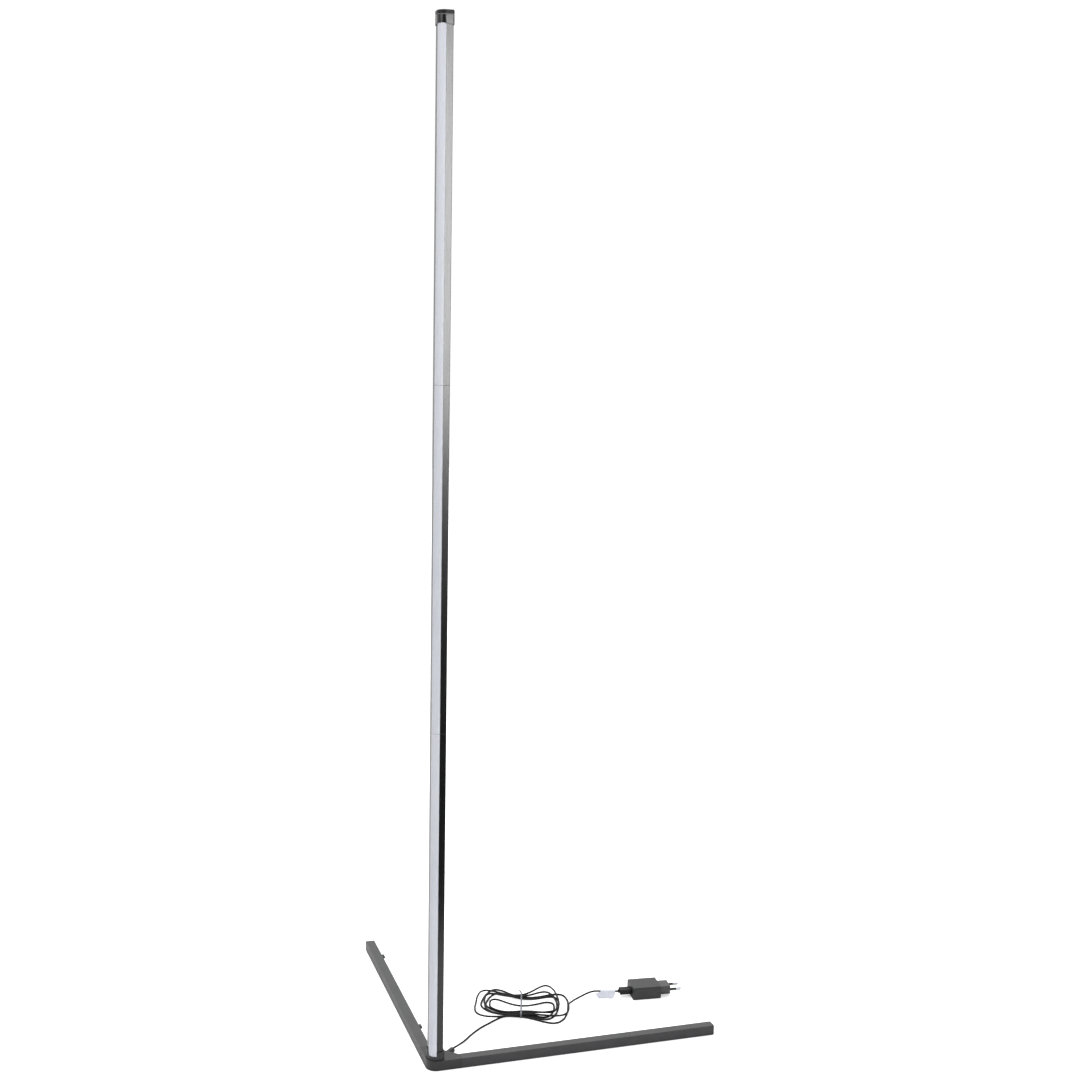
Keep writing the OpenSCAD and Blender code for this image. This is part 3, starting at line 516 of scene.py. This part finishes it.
def hank_tie():
    """A thin band round both sides of the hank, with its twisted ends at the back."""
    width, reach, tall, corner, wall = 2.4, 78.2, 8.4, 2.6, 0.6
    end_depth, end_length, end_twist = 1.1, 6, math.radians(430)
    band = standing_box(width, reach, tall)
    pick(band, lambda middle, normal: abs(normal.x) > 0.9)
    bpy.ops.mesh.delete(type="ONLY_FACE")
    pick_edges_along(band, 0)
    bpy.ops.mesh.bevel(offset=corner * MM, segments=8)
    bpy.ops.object.mode_set(mode="OBJECT")
    modified(band, "wall", "SOLIDIFY", thickness=wall * MM, offset=-1)
    ends = standing_box(width, end_depth, end_length)
    pick_edges_along(ends, 2)
    bpy.ops.mesh.subdivide(number_cuts=22)
    bpy.ops.object.mode_set(mode="OBJECT")
    modified(ends, "twist", "SIMPLE_DEFORM", deform_method="TWIST", deform_axis="Z", angle=end_twist)
    ends.rotation_euler = (math.radians(-28), math.radians(-38), 0)
    ends.location = (0, (reach / 2 - 1.6) * MM, (tall - 1.2) * MM)
    settle(ends)
    band.select_set(True)
    bpy.context.view_layer.objects.active = band
    bpy.ops.object.join()
    band.location = EXIT + Vector((*HANK_MID, 0))
    band.rotation_euler = (0, 0, math.radians(HANK_TURN))
    settle(band)
    round_edges(band, 0.12 * MM, angle=50)
    return hand_over(band, "tie", "lamp", "tie_clear", tie_film, "hank_tie")


def label(start):
    """A strip of film folded round the lead, its halves stuck together into a flag that leans."""
    length, fold_radius, thickness, crease_height = 31.0, 1.86, 0.18, 1.1
    lean = math.radians(49)
    arc = [math.radians(a) for a in range(90, 271, 15)]
    fold = [(fold_radius * math.cos(a), fold_radius * math.sin(a)) for a in arc]
    upper_half = [(12.3, 1.75), (10.2, 1.78), (8, 1.80), (6.4, 1.82),
                  (5, 1.83), (3.6, 1.84), (2.2, 1.85), (1, fold_radius)]
    lower_half = [(1, -1.72), (2.2, -1.2), (3.6, -0.2), (5, 0.92),
                  (6.4, 1.36), (8, 1.45), (10.2, 1.42), (12.1, 1.38)]
    section = upper_half + fold + lower_half
    deselect_everything()
    (down, out), (next_down, _) = section[:2]
    bpy.ops.mesh.primitive_plane_add(size=1, location=(
        length / 2 * MM, (down + next_down) / 2 * MM, out * MM))
    strip = bpy.context.object
    strip.scale = (length * MM, (down - next_down) * MM, 1)
    settle(strip)
    pick(strip, lambda middle, way: middle.y < (next_down + 0.1) * MM, "EDGE")
    for last, now in zip(section[1:], section[2:]):
        stretch((0, (now[0] - last[0]) * MM, (now[1] - last[1]) * MM))
    pick_edges_along(strip, 0)
    bpy.ops.mesh.subdivide(number_cuts=23)
    bpy.ops.object.mode_set(mode="OBJECT")

    # Cut back on the left beside the fold, narrower at the free edge, and creased away from the fold
    free = strip.vertex_groups.new(name="free")
    for corner in strip.data.vertices:
        down = corner.co.y / MM
        left = 8 - 8.6 * soft_step((down - 1) / 3.6) + 5 * soft_step((down - 5.5) / 7)
        right = 31.6 - 3.4 * soft_step((down - 4) / 9)
        corner.co.x = (left + corner.co.x / (length * MM) * (right - left)) * MM
        free.add([corner.index], min(1, max(0, (down - 1.5) / 3)), "REPLACE")
    creases = given(bpy.data.textures.new("film_creases", "CLOUDS"), noise_scale=0.007)
    modified(strip, "creases", "DISPLACE", texture=creases, texture_coords="LOCAL", direction="Z",
             strength=crease_height * MM, vertex_group="free")

    along, level = direction(TAG_TURN), direction(TAG_TURN + 90)
    fall = -math.cos(lean) * level - math.sin(lean) * UP
    face = -math.sin(lean) * level + math.cos(lean) * UP
    strip.matrix_world = axes_matrix(along, fall, face, Vector((start.x, start.y, PLUG_Z)))
    settle(strip)
    bpy.ops.object.mode_set(mode="EDIT")
    face_outwards()
    modified(strip, "film", "SOLIDIFY", thickness=thickness * MM, offset=0)
    bpy.ops.object.shade_smooth_by_angle(angle=math.radians(50))
    return hand_over(strip, "label", "lamp", "tag_white", tag_film, "cord_tag")


lead_plug = lamp_plug()
tie = hank_tie()
tag = label(label_start)


# The solids, with rounded edges where they show

dressed("corner_connector", "base_corner", "lamp", "black_plastic", base_plastic, 0.45)
for side in ("right", "rear"):
    dressed(side + "_leg", side + "_leg_tube", "lamp", "black_steel", powder_coat, 0.6)
    dressed(side + "_leg_cap", side + "_leg_end", "lamp", "black_plastic", base_plastic, 0.4)
for part in ("lower", "middle", "upper"):
    dressed("pole_" + part, "column_" + part, "lamp", "black_aluminium", anodised, 0.12)
    dressed("diffuser_" + part, "light_cover_" + part, "lamp", "opal_plastic", opal_plastic, 0.12)
dressed("cap_sleeve", "top_sleeve", "lamp", "cap_plastic", cap_finish, 0.12)
dressed("cap_lid", "top_lid", "lamp", "cap_plastic", lid_painted_band, 0.2)
dressed("cord_clips", "lead_clips", "lamp", "black_plastic", base_plastic, 0.15)
grip = dressed("usb_grip", "adapter_plug_grip", "lamp", "plug_black", plug_plastic, 0.5, 3)
dressed("adapter_shell", "adapter_body", "adapter", "adapter_black", adapter_plastic, 0.5, 3)
dressed("adapter_nose", "adapter_front", "adapter", "adapter_black", nose_plastic, 0.5, 3)
dressed("plug_pins", "contact_pins", "adapter", "plug_steel", nickel, 0.35)

for name, material in (
        ("base_cover", base_plastic), ("cover_screws", zinc), ("leg_screws", zinc),
        ("foot_pads", foot_rubber), ("control_board", board_face), ("power_jack", base_plastic),
        ("led_strip_lower", strip_face), ("led_strip_middle", strip_face),
        ("led_strip_upper", strip_face),
        ("coupler_lower", base_plastic), ("coupler_upper", base_plastic), ("contacts_lower", brass),
        ("contacts_upper", brass), ("usb_shell", nickel), ("usb_tongue", strip_face),
        ("pin_sleeves", plug_plastic), ("usb_port", adapter_plastic), ("adapter_board", board_face)):
    nodes[name].data.materials.clear()
    nodes[name].data.materials.append(material)


# Floor and light

WHITE = (1, 1, 1, 1)
FLOOR_GLOW = 0.42


def white_floor():
    """White to the camera, but darker to the lamp, so that it throws little light back onto it."""
    deselect_everything()
    bpy.ops.mesh.primitive_plane_add(size=1, location=(0, 3.14, 0))
    floor = bpy.context.object
    floor.scale = (12, 7.72, 1)
    settle(floor)
    floor.name = "floor"
    material, tree, bsdf = new_material("white_floor")
    path = node(tree, "ShaderNodeLightPath")
    seen = spread(tree, path.outputs["Is Camera Ray"], 0, 1, 0, FLOOR_GLOW)
    shade = tones(tree, path.outputs["Is Diffuse Ray"], (0.95, 0.95, 0.95), (0.30, 0.30, 0.31), 0, 1)
    tree.links.new(shade, bsdf.inputs["Base Color"])
    tree.links.new(seen, bsdf.inputs["Emission Strength"])
    fill(bsdf, {"Roughness": 0.9, "Specular IOR Level": 0.1, "Emission Color": WHITE})
    floor.data.materials.append(material)


def surroundings():
    """A white backdrop that lights the lamp mostly from behind and above."""
    world = bpy.data.worlds.new("studio")
    bpy.context.scene.world = world
    world.use_nodes = True
    tree = world.node_tree
    tree.nodes.clear()
    coords = node(tree, "ShaderNodeTexCoord")
    toward = node(tree, "ShaderNodeVectorMath", operation="DOT_PRODUCT")
    toward.inputs[1].default_value = Vector((-0.15, 0.85, 0.50)).normalized()
    tree.links.new(coords.outputs["Generated"], toward.inputs[0])
    around = node(tree, "ShaderNodeBackground")
    fill(around, {"Color": WHITE})
    bright = spread(tree, toward.outputs["Value"], -0.35, 0.75, 0.02, 1.15)
    tree.links.new(bright, around.inputs["Strength"])
    seen = node(tree, "ShaderNodeBackground")
    fill(seen, {"Color": WHITE, "Strength": 1.05})
    path = node(tree, "ShaderNodeLightPath")
    mix = node(tree, "ShaderNodeMixShader")
    out = node(tree, "ShaderNodeOutputWorld")
    tree.links.new(path.outputs["Is Camera Ray"], mix.inputs["Fac"])
    tree.links.new(around.outputs["Background"], mix.inputs[1])
    tree.links.new(seen.outputs["Background"], mix.inputs[2])
    tree.links.new(mix.outputs["Shader"], out.inputs["Surface"])


def panel(name, place, target, **values):
    lamp = new_object(name, given(bpy.data.lights.new(name, "AREA"), **values))
    lamp.location = place
    lamp.rotation_euler = (Vector(target) - Vector(place)).to_track_quat("-Z", "Y").to_euler()


white_floor()
surroundings()
sun = given(bpy.data.lights.new("soft_top", "SUN"), energy=1.7, angle=math.radians(75))
new_object("soft_top", sun).rotation_euler = (math.radians(-20), math.radians(-4), 0)
panel("front_panel", (0.5, -3.13, 1.33), (-0.22, -0.22, 1.33),
      shape="RECTANGLE", size=0.9, size_y=1.34, energy=66)
panel("left_panel", (-2.0, -1.2, 2.2), (-0.22, -0.22, 1.3), size=0.9, energy=14)
bpy.context.scene.view_settings.view_transform = "Standard"
bpy.context.scene.view_settings.look = "None"
